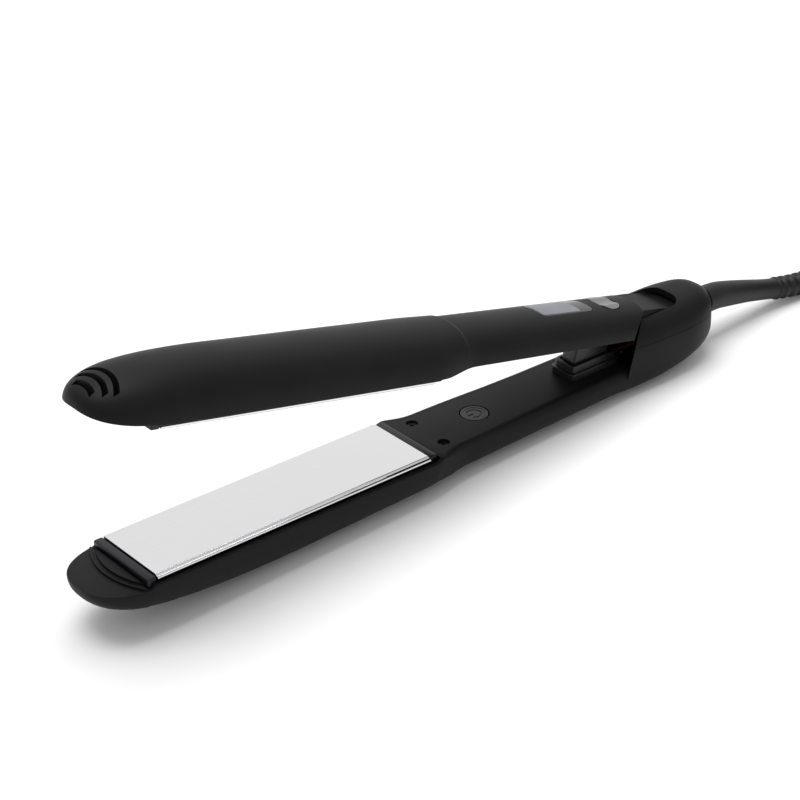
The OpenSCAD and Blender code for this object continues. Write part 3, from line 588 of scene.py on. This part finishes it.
def shoulder_wedge(x, side):
    """Everything ahead of the slanted shoulder."""
    outline = [(-250, -30), (0, -30), (0, -HEEL_W / 2), (5.4, -SLOT_HALF), (5.4, SLOT_HALF),
               (0, HEEL_W / 2), (0, 30), (-250, 30)]
    bm = prism(outline, -120, 120)
    bm.transform(
        Matrix.Translation((x, 0, side * SHOULDER_Z)) @ Matrix.Rotation(side * SHOULDER_LEAN, 4, "Y")
    )
    return bm


def stand_on_floor(piece):
    """The flat foot: nothing of the casing reaches below the surface that it rests on."""
    for vertex in piece.data.vertices:
        vertex.co.z = max(vertex.co.z, 0.0)


# ------------------------------------------------------------------ lower arm
def face_outline(start, end, inset):
    xs = [start] + spaced(start, end, 2)
    return [(x, face_half(x) - inset) for x in xs] + [(x, inset - face_half(x)) for x in reversed(xs)]


def nose_step(radius):
    """Outline of a curved step ahead of the plate, cut off straight at its rear."""
    outline = []
    for i in range(-44, 45):
        turn = math.radians(i * 0.85)
        x = STEP_CENTRE - radius * math.cos(turn)
        if x < STEP_REAR - 0.01:
            outline.append((x, max(-STEP_HALF, min(STEP_HALF, radius * math.sin(turn)))))
    return [(STEP_REAR, outline[0][1])] + outline + [(STEP_REAR, outline[-1][1])]


def make_lower_casing():
    arm = placed("arm", lower_form(), LOWER)
    recess = prism(face_outline(PANEL_FRONT - 0.4, PANEL_REAR, PANEL_INSET - 0.03), PANEL_Z - PANEL_T, 6)
    carve(
        arm,
        cut("tray", block(*TRAY_ROOM), LOWER),
        cut("recess", recess, LOWER),
        cut("guard_room", block(*GUARD_ROOM), LOWER),
    )
    steps = [
        placed("step", prism(nose_step(radius), -7, top, 0.35), LOWER)
        for radius, top in ((24.0, RIM_Z + 0.3), (25.6, RIM_Z - 0.45))
    ]
    piece = join("lower_casing", arm, housing_part(cap=False), *steps)
    stand_on_floor(piece)
    finished(piece, "lower_arm", "soft_black", "lower_shell")


def housing_part(cap):
    """The hinge housing above its seam, which is the cap, or below it."""
    form = placed("housing", housing_form(), LOWER)
    if cap:
        other = block((100, -40, -60), (220, 40, SEAM_Z + 0.07))
    else:
        other = block((100, -40, SEAM_Z - 0.05), (220, 40, 60))
    screw_x, screw_y = HOUSING_SCREW
    cuts = [
        cut("wedge", shoulder_wedge(CHEEK_X, 1), LOWER),
        cut("hollow", housing_form(inset=HOUSING_WALL), LOWER),
        cut("slot", prism(rounded_outline(120, SLOT_REAR, SLOT_HALF, 5), 0, 30), LOWER),
        cut("outlet", lathe([(170, 4.6), (200, 4.6)]), LOWER @ Matrix.Translation((0, 0, 5))),
        cut("other", other, LOWER),
    ]
    for side in (-1, 1):
        hole = prism(disc_outline(screw_x, side * screw_y, HOUSING_SCREW_HOLE), -30, -6.4)
        cuts.append(cut("screw_hole", hole, LOWER))
    return carve(form, *cuts)


def make_housing_cap():
    finished(housing_part(cap=True), "lower_arm", "soft_black", "housing_cover").name = "housing_cap"


def make_lower_panel():
    outline = face_outline(PANEL_FRONT, PANEL_REAR, PANEL_INSET)
    panel = placed("inner_cover", prism(outline, PANEL_Z - PANEL_T, PANEL_Z, 0.12), LOWER)
    cuts = [cut("hole", prism(disc_outline(BUTTON_X, 0, 4.85), -10, 10), LOWER)]
    wells = []
    for side in (-1, 1):
        screw = PANEL_SCREW[0], side * PANEL_SCREW[1]
        cuts.append(cut("hole", prism(disc_outline(*screw, PANEL_SCREW_HOLE), -10, 10), LOWER))
        rim = prism(disc_outline(*screw, 3.0), PANEL_Z - 3.4, PANEL_Z - PANEL_T + 0.1)
        bore = prism(disc_outline(*screw, PANEL_SCREW_HOLE), PANEL_Z - 2.2, 4)
        wells.append(carve(placed("well", rim, LOWER), cut("bore", bore, LOWER)))
    cuts.append(cut("slot", block((118.2, -4.5, -10), (150, 4.5, 10)), LOWER))
    carve(panel, *cuts)
    finished(join("inner_cover", panel, *wells), "lower_arm", "inner_black", "lower_panel")


def make_power_button():
    """Round key with a generic power symbol sunk in its dished face."""
    top = PANEL_Z - 0.1
    disc = placed("button", prism(disc_outline(BUTTON_X, 0, 4.4), top - 2.5, top + 0.05, 0.35), LOWER)
    arc = []
    for radius, order in ((2.55, 1), (2.0, -1)):
        span = [math.radians(-140 + 280 * i / 28) for i in range(29)][::order]
        arc += [(BUTTON_X + radius * math.cos(a), radius * math.sin(a)) for a in span]
    bar = rounded_outline(BUTTON_X - 2.7, BUTTON_X - 0.2, 0.3, 0.28, steps=4)
    carve(
        disc,
        cut("dish", prism(disc_outline(BUTTON_X, 0, 3.7), top - 0.08, top + 1), LOWER),
        cut("arc", prism(arc, top - 0.3, top + 1), LOWER),
        cut("bar", prism(bar, top - 0.3, top + 1), LOWER),
    )
    flange = placed("flange", prism(disc_outline(BUTTON_X, 0, 5.6), top - 2.5, top - 1.7), LOWER)
    finished(join("power_key", disc, flange), "power_button", "button_black", "power_button", sharp=30)


def make_plate(name, where, body, node):
    """Polished plate: flat face, a dark-reflecting step and a bright rolled lip down each long edge."""
    side = [(12.55, 0.0), (12.72, -0.03), (12.86, -0.12), (13.1, -0.42), (13.2, -0.5), (13.62, -0.56),
            (13.84, -0.66), (13.96, -0.84), (14.0, -1.05), (13.96, -1.3), (13.8, -1.5), (13.6, -1.6)]
    tray = [(12.0, -1.6), (12.0, -6.0), (10.8, -6.0), (10.8, -2.0)]
    half = side + tray
    profile = half + [(-y, z) for y, z in reversed(half)]
    front = [(-PLATE_END, 0.12), (-PLATE_END + 0.06, 0.04), (-PLATE_END + 0.16, 0.0)]
    stations = front + [(-x, drop) for x, drop in reversed(front)]
    bm = loft([(x, [(y, z - (drop if z > -0.2 else 0)) for y, z in profile]) for x, drop in stations])
    finished(placed(name, bm, where), body, "mirror_plate", node, sharp=24)


def make_carrier(name, where, body, node):
    """Glossy tray whose front and rear bars show past the plate's ends."""
    core = placed("core", block((-52.9, -12.8, -7.2), (53.3, 12.8, -2.4)), where)
    carve(core, cut("pocket", block((-50.2, -12.1, -6.7), (50.2, 12.1, 5)), where))
    bars = [
        placed("bar", prism(rounded_outline(x0, x1, half, 0.5, steps=4), -4.4, top, 0.55), where)
        for x0, x1, half, top in ((-53.2, -50.2, 13.6, -0.5), (50.2, 53.6, 13.0, -0.6))
    ]
    finished(join(name, core, *bars), body, "gloss_black", node)


def make_guard():
    """Two-step collar on the lower arm, and the slider that enters it from the upper arm."""
    tiers = [placed("tier", prism(rounded_outline(117.1, 138.0, 5.3, 1.8), PANEL_Z, 0.8, 0.3), LOWER),
             placed("tier", prism(rounded_outline(118.2, 137.2, 4.5, 1.3), -7.6, 3.2, 0.35), LOWER)]
    for tier in tiers:
        carve(tier, cut("hollow", block((119.2, -3.5, -10), (136.2, 3.5, 10)), LOWER))
    finished(join("guard_collar", *tiers), "lower_arm", "guard_black", "guard_sleeve")
    plunger = placed("plunger", prism(rounded_outline(121.2, 135.4, 3.2, 0.8), -6.8, 7.8, 0.3), UPPER)
    flange = placed("flange", block((116, -8, -7), (135.6, 8, -5.8)), UPPER)
    low, high = SLIDER_BORE
    for part, floor_z in ((plunger, -5.8), (flange, -5.9)):
        carve(part, cut("hollow", block((*low, floor_z), (*high, 20)), UPPER))
    finished(join("guard_slider", plunger, flange), "upper_arm", "guard_black", "guard_plunger")


# ------------------------------------------------------------------ upper arm
def back_lean(x):
    return math.atan(upper_back(x + 0.5) - upper_back(x - 0.5))


def vent_cutters():
    """A shallow scoop in the nose with three crescent slots in it."""
    scoop_x = -63.4
    bm = bmesh.new()
    bmesh.ops.create_uvsphere(bm, u_segments=48, v_segments=24, radius=1.0)
    bm.transform(
        Matrix.Translation((scoop_x, 0, upper_back(scoop_x) - 1.5))
        @ Matrix.Rotation(-back_lean(scoop_x), 4, "Y")
        @ Matrix.Diagonal((7.6, 9.6, 2.9, 1))
    )
    cuts = [cut("scoop", bm, UPPER)]
    for i, half in enumerate((8.6, 7.0, 4.4)):
        x = -60.6 - 3.4 * i
        arc = []
        for radius, order in ((17.1, 1), (15.4, -1)):
            reach = math.asin(half / radius)
            span = [mix(-reach, reach, k / 24) for k in range(25)][::order]
            arc += [(x - 15.4 + radius * math.cos(a), radius * math.sin(a)) for a in span]
        cuts.append(cut("crescent", prism(arc, -30, -6), UPPER))
    return cuts


def make_upper_casing():
    arm = placed("arm", upper_form(), UPPER)
    well = rounded_outline(ROCKER_X - 4.1, ROCKER_X + 4.1, 6.1, 4, CONTROLS_Y)
    carve(
        arm,
        ("INTERSECT", placed("ahead", shoulder_wedge(CHEEK_X - 0.6, -1), UPPER)),
        cut("hollow", upper_hollow(), UPPER),
        cut("ends", block(*UPPER_TRAY_ROOM), UPPER),
        *vent_cutters(),
        cut("window", prism(rounded_outline(*WINDOW_HOLE, CONTROLS_Y), -30, -9.4), UPPER),
        cut("well", prism(well, -30, -9), UPPER),
    )
    finished(join("upper_casing", arm, make_tongue()), "upper_arm", "soft_black", "upper_shell")


def make_tongue():
    """Rear end of the upper casing, which swings inside the housing's slot."""
    outline = [(137.8, 7.2), (137.8, 11.3), (140, 11.4), (150, 11.4), (155, 11.1), (159, 10.5)]
    outline += [
        (PIVOT_X + 6 * math.cos(math.radians(a)), PIVOT_Z + 6 * math.sin(math.radians(a)))
        for a in range(96, -132, -12)
    ]
    outline += [(152, 3.8), (142, 6)]
    bm = bmesh.new()
    left = [bm.verts.new((x, -TONGUE_HALF, CLOSED_GAP - z)) for x, z in outline]
    right = [bm.verts.new((x, TONGUE_HALF, CLOSED_GAP - z)) for x, z in outline]
    count = len(outline)
    for i in range(count):
        k = (i + 1) % count
        bm.faces.new((left[i], left[k], right[k], right[i]))
    bm.faces.new(left[::-1])
    bm.faces.new(right)
    rims = [e for e in bm.edges if abs(e.verts[0].co.y - e.verts[1].co.y) < TINY]
    bmesh.ops.bevel(bm, geom=rims, offset=0.9, segments=4, affect="EDGES", profile=0.5)
    tongue = placed("tongue", bm, UPPER)
    bore = lathe([(-20, 2.5), (20, 2.5)])
    across = Matrix.Rotation(math.pi / 2, 4, "Z")
    bore.transform(Matrix.Translation((PIVOT_X, 0, CLOSED_GAP - PIVOT_Z)) @ across)
    return carve(tongue, cut("bore", bore, UPPER))


def make_display():
    """The dark window and, just proud of it, the display's own face."""
    skin = placed("lens", upper_form(), UPPER)
    outline = prism(rounded_outline(*WINDOW_LENS, CONTROLS_Y), -20, -10.4)
    carve(skin, ("INTERSECT", placed("outline", outline, UPPER)))
    skin.name = "display_window"
    finished(skin, "upper_arm", "smoked_lens", "display_lens")
    glass = placed("glass", upper_form(swell=0.04), UPPER)
    outline = prism(rounded_outline(101.9, 118.4, 4.5, 0.5, CONTROLS_Y, steps=4), -20, -12)
    carve(glass, ("INTERSECT", placed("outline", outline, UPPER)))
    glass.name = "display_face"
    finished(glass, "upper_arm", "display_grey")


def make_rocker():
    """Temperature key with a saddle-shaped top."""
    key = placed("key", upper_form(swell=0.25), UPPER)
    outline = prism(rounded_outline(ROCKER_X - 3.8, ROCKER_X + 3.8, 5.8, 3.7, CONTROLS_Y), -20, -9.6)
    saddle_r = 14.0
    saddle = lathe([(-20, saddle_r), (20, saddle_r)], steps=96)
    saddle.transform(Matrix.Translation((ROCKER_X, CONTROLS_Y, upper_back(ROCKER_X) - saddle_r + 0.25)))
    carve(key, ("INTERSECT", placed("outline", outline, UPPER)), cut("saddle", saddle, UPPER))
    key.name = "temperature_key"
    finished(key, "rocker_key", "silver_key", "rocker_key", sharp=30)


make_lower_casing()
make_housing_cap()
make_lower_panel()
make_power_button()
make_guard()
for arm, where in (("lower", LOWER), ("upper", UPPER)):
    make_plate(arm + "_polished_plate", where, arm + "_floating_plate", arm + "_plate")
    make_carrier(arm + "_tray", where, arm + "_arm", arm + "_carrier")
make_upper_casing()
make_display()
make_rocker()

# ------------------------------------------------------------------ cord
CORD_D = 6.4
RELIEF_ROUTE = [
    (125.3, 0, 14), (131, 0, 13.6), (137, 0, 12.2), (146, -0.1, 9.8), (154, -0.4, 7.5),
    (162, -1, 5.5), (170, -2, 4.3), (178, -3, 4.1), (185, -3.4, 4.1),
]
LEAD_ROUTE = [
    (184, -3.4, 4), (192, -3.6, 3.4), (200, -2.7, 3.2), (210, 0.6, 3.2), (219, 4.3, 3.2), (228, 5.6, 3.2),
]
TAIL_ROUTE = [
    (228, 5.6, 28.8), (237.2, 4, 29.3), (245.4, -0.7, 29.9), (251, -7.2, 30.1),
    (256.6, -13.7, 30), (264.7, -18.4, 29.2), (273.9, -20, 28.2), (281, -20, 27.7),
]
HANK_X, HANK_Y, HANK_RUN, HANK_R = 268.0, -20.0, 80.0, 3.5 * CORD_D
HANK_TURNS, HANK_STEP, SHIFT_SPAN, SHIFT_EARLIER = 8, 5.0, 32.0, 6.5
ROUTE_STEPS, PLUG_GRIP = 4, 28


def smooth_route(points, per):
    """Catmull-Rom curve through the given points."""
    p = [Vector(q) for q in points]
    route = []
    for i in range(len(p) - 1):
        a, b, c, d = p[max(i - 1, 0)], p[i], p[i + 1], p[min(i + 2, len(p) - 1)]
        for k in range(per):
            t = k / per
            route.append(0.5 * (2 * b + (c - a) * t + (2 * a - 5 * b + 4 * c - d) * t * t
                                + (3 * b - a - 3 * c + d) * t ** 3))
    return route + [p[-1]]


def hank_point(along, radius, z):
    """Point on one lap of the hank: north run, east fold, south run, west fold."""
    fold = math.pi * HANK_R
    if along < HANK_RUN:
        return HANK_X - HANK_RUN / 2 + along, HANK_Y + radius, z
    if along < HANK_RUN + fold:
        turn = math.pi / 2 - (along - HANK_RUN) / HANK_R
        return HANK_X + HANK_RUN / 2 + radius * math.cos(turn), HANK_Y + radius * math.sin(turn), z
    if along < 2 * HANK_RUN + fold:
        return HANK_X + HANK_RUN / 2 - (along - HANK_RUN - fold), HANK_Y - radius, z
    turn = -math.pi / 2 - (along - 2 * HANK_RUN - fold) / HANK_R
    return HANK_X - HANK_RUN / 2 + radius * math.cos(turn), HANK_Y + radius * math.sin(turn), z


def hank_points():
    """Laps two to a layer; each lap moves over or climbs a little earlier than the one before it."""
    lap = 2 * HANK_RUN + 2 * math.pi * HANK_R
    steps = round(lap / HANK_STEP)
    places = [
        (HANK_R + CORD_D * (0.5, -0.5, -0.5, 0.5)[n % 4], CORD_D * (n // 2 + 0.5))
        for n in range(HANK_TURNS + 1)
    ]
    points = []
    for n in range(HANK_TURNS):
        middle = 2 * HANK_RUN + math.pi * HANK_R - SHIFT_SPAN / 2 - SHIFT_EARLIER * n
        for i in range(1 if n == 0 else 0, steps):
            along = lap * i / steps
            share = ease(along, middle - SHIFT_SPAN / 2, middle + SHIFT_SPAN / 2)
            points.append(hank_point(along, *[mix(a, b, share) for a, b in zip(places[n], places[n + 1])]))
    return points


def tube_curve(name, points, diameter):
    data = bpy.data.curves.new(name, "CURVE")
    data.dimensions = "3D"
    data.bevel_depth = diameter / 2 * MM
    data.bevel_resolution = 5
    data.use_fill_caps = True
    spline = data.splines.new("POLY")
    spline.points.add(len(points) - 1)
    for target, point in zip(spline.points, points):
        target.co = (*(Vector(point) * MM), 1)
    spline.use_smooth = True
    piece = bpy.data.objects.new(name, data)
    bpy.context.scene.collection.objects.link(piece)
    return piece


def make_cord():
    """The whole cord as one tube, from inside the strain relief to the plug."""
    inside_relief, lead, tail = [
        smooth_route(points, ROUTE_STEPS) for points in (RELIEF_ROUTE[:-1], LEAD_ROUTE, TAIL_ROUTE)
    ]
    route = inside_relief + lead + hank_points() + tail
    flex = tube_curve("mains_cord", route, CORD_D)
    flex.data.materials.append(MATERIALS["cord_rubber"])
    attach(flex, "lower_arm")
    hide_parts("cord", "cord_hank", "cord_tail")
    return flex, route


def swept(name, route, radii, steps=28):
    """Tube along a route with its own radius at each point."""
    bm = bmesh.new()
    rings = []
    for j, point in enumerate(route):
        ahead = (route[min(j + 1, len(route) - 1)] - route[max(j - 1, 0)]).normalized()
        side = Vector((0, 0, 1)).cross(ahead).normalized()
        up = ahead.cross(side)
        turns = [math.tau * i / steps for i in range(steps)]
        rings.append([
            bm.verts.new(point + radii[j] * (side * math.cos(a) + up * math.sin(a))) for a in turns
        ])
    for a, b in zip(rings, rings[1:]):
        for i in range(steps):
            k = (i + 1) % steps
            bm.faces.new((a[i], a[k], b[k], b[i]))
    bm.faces.new(rings[0][::-1])
    bm.faces.new(rings[-1])
    return placed(name, bm, Matrix.Scale(MM, 4))


def make_strain_relief():
    """Smooth tapering neck with soft ribs down its last stretch."""
    route = smooth_route(RELIEF_ROUTE, 24)
    run, travelled = 0.0, []
    for a, b in zip([route[0]] + route, route):
        run += (b - a).length
        travelled.append(run)
    rib_start, rib_pitch = 36.0, 3.5
    radii = []
    for s in travelled:
        core = mix(4.7, 3.55, ease(s, 0, 34))
        if s > rib_start:
            wave = 0.5 + 0.5 * math.cos(math.tau * (s - rib_start) / rib_pitch)
            fade = 1 - ease(s, run - 2, run)
            core = mix(3.3, 3.98, ease(wave, 0.2, 0.8) * fade)
        radii.append(core)
    sleeve = swept("neck_sleeve", route, radii)
    return finished(sleeve, "lower_arm", "relief_rubber", "strain_relief", sharp=60)


def make_tie():
    """Strap wound round the hank, filling the solid strap's place."""
    low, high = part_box("cord_tie")
    low, high = low / MM, high / MM
    middle = (low + high) / 2
    thick = 1.1
    half = (high.z - low.z) / 2
    outer = rounded_outline(low.y, high.y, half, 3.2, middle.z, steps=6)
    inner = rounded_outline(low.y + thick, high.y - thick, half - thick, 2.2, middle.z, steps=6)
    bm = bmesh.new()
    rings = [
        [bm.verts.new((x, y, z)) for y, z in shape]
        for shape in (outer, inner) for x in (low.x, high.x)
    ]
    outer_a, outer_b, inner_a, inner_b = rings
    count = len(outer)
    for i in range(count):
        k = (i + 1) % count
        bm.faces.new((outer_a[i], outer_a[k], outer_b[k], outer_b[i]))
        bm.faces.new((inner_a[i], inner_b[i], inner_b[k], inner_a[k]))
        bm.faces.new((outer_a[i], inner_a[i], inner_a[k], outer_a[k]))
        bm.faces.new((outer_b[i], outer_b[k], inner_b[k], inner_b[i]))
    piece = placed("cord_strap", bm, Matrix.Scale(MM, 4))
    return finished(piece, "lower_arm", "tie_black", "cord_tie")


def sleeve_radius(s):
    return mix(3.5, 4.4, s) + 0.25 * math.cos(math.tau * 4 * s)


def make_plug():
    """Flat two-pin plug: waisted grip, ribbed sides and a sleeve at its rear."""
    low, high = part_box("plug_body")
    low, high = low / MM, high / MM
    middle = (low + high) / 2
    wide, thick = high.y - low.y, high.z - low.z
    grip_rear = high.x - PLUG_GRIP
    sections = [
        (mix(low.x, grip_rear, s), sleeve_radius(s), sleeve_radius(s), 2.0)
        for s in [i / 20 for i in range(20)]
    ]
    for i in range(49):
        s = i / 48
        waist = 1 - 0.26 * math.exp(-((s - 0.42) / 0.18) ** 2) - 0.2 * (1 - ease(s, 0, 0.12))
        ribs = 0.22 * math.sin(math.tau * 10 * s) * (ease(s, 0.2, 0.26) - ease(s, 0.6, 0.66))
        rim = 1 - 0.06 * ease(s, 0.95, 1)
        round_off = 1 - 0.2 * (1 - ease(s, 0, 0.12))
        half_wide = wide / 2 * waist * rim + ribs
        half_thick = thick / 2 * rim * round_off
        sections.append((mix(grip_rear, high.x, s), half_wide, half_thick, 2.9))
    around = [math.tau * k / 48 for k in range(48)]
    bm = loft([
        (x, [(middle.y + w * power(math.cos(a), n), middle.z + t * power(math.sin(a), n)) for a in around])
        for x, w, t, n in sections
    ])
    piece = placed("plug_grip", bm, Matrix.Scale(MM, 4))
    return finished(piece, "lower_arm", "plug_black", "plug_body", sharp=50)


relief = make_strain_relief()
cord, cord_route = make_cord()
strap = make_tie()
plug = make_plug()


# ------------------------------------------------------------------ floor and light
def area_light(name, place, aim, sizes, power):
    data = bpy.data.lights.new(name, "AREA")
    data.shape = "RECTANGLE"
    data.size, data.size_y = sizes
    data.energy = power
    light = bpy.data.objects.new(name, data)
    bpy.context.scene.collection.objects.link(light)
    light.location = place
    light.rotation_euler = (Vector(aim) - Vector(place)).to_track_quat("-Z", "Y").to_euler()


def add_floor():
    bm = bmesh.new()
    bmesh.ops.create_grid(bm, x_segments=8, y_segments=8, size=4)
    floor = placed("floor", bm, ROW)
    floor.location.z = -0.0002
    material, nodes, links, shader, place = node_material("floor_white")
    tone = blended(nodes, links, noise(nodes, links, place, 3, 2), (0.90, 0.90, 0.90), (0.92, 0.92, 0.92))
    links.new(tone, shader.inputs["Base Color"])
    shader.inputs["Roughness"].default_value = 0.75
    shader.inputs["Specular IOR Level"].default_value = 0.2
    floor.data.materials.append(material)


def add_light():
    world = bpy.data.worlds.new("studio")
    world.use_nodes = True
    background = world.node_tree.nodes["Background"]
    background.inputs["Color"].default_value = (1, 1, 1, 1)
    background.inputs["Strength"].default_value = 0.62
    bpy.context.scene.world = world
    area_light("overhead", (0.0, 0.25, 1.3), (0, 0, 0), (1.2, 0.9), 14)
    area_light("far_side", (0.95, 1.25, 1.0), (0, 0, 0.02), (3.0, 2.2), 6.5)
    bpy.context.scene.view_settings.view_transform = "Standard"


add_floor()
add_light()
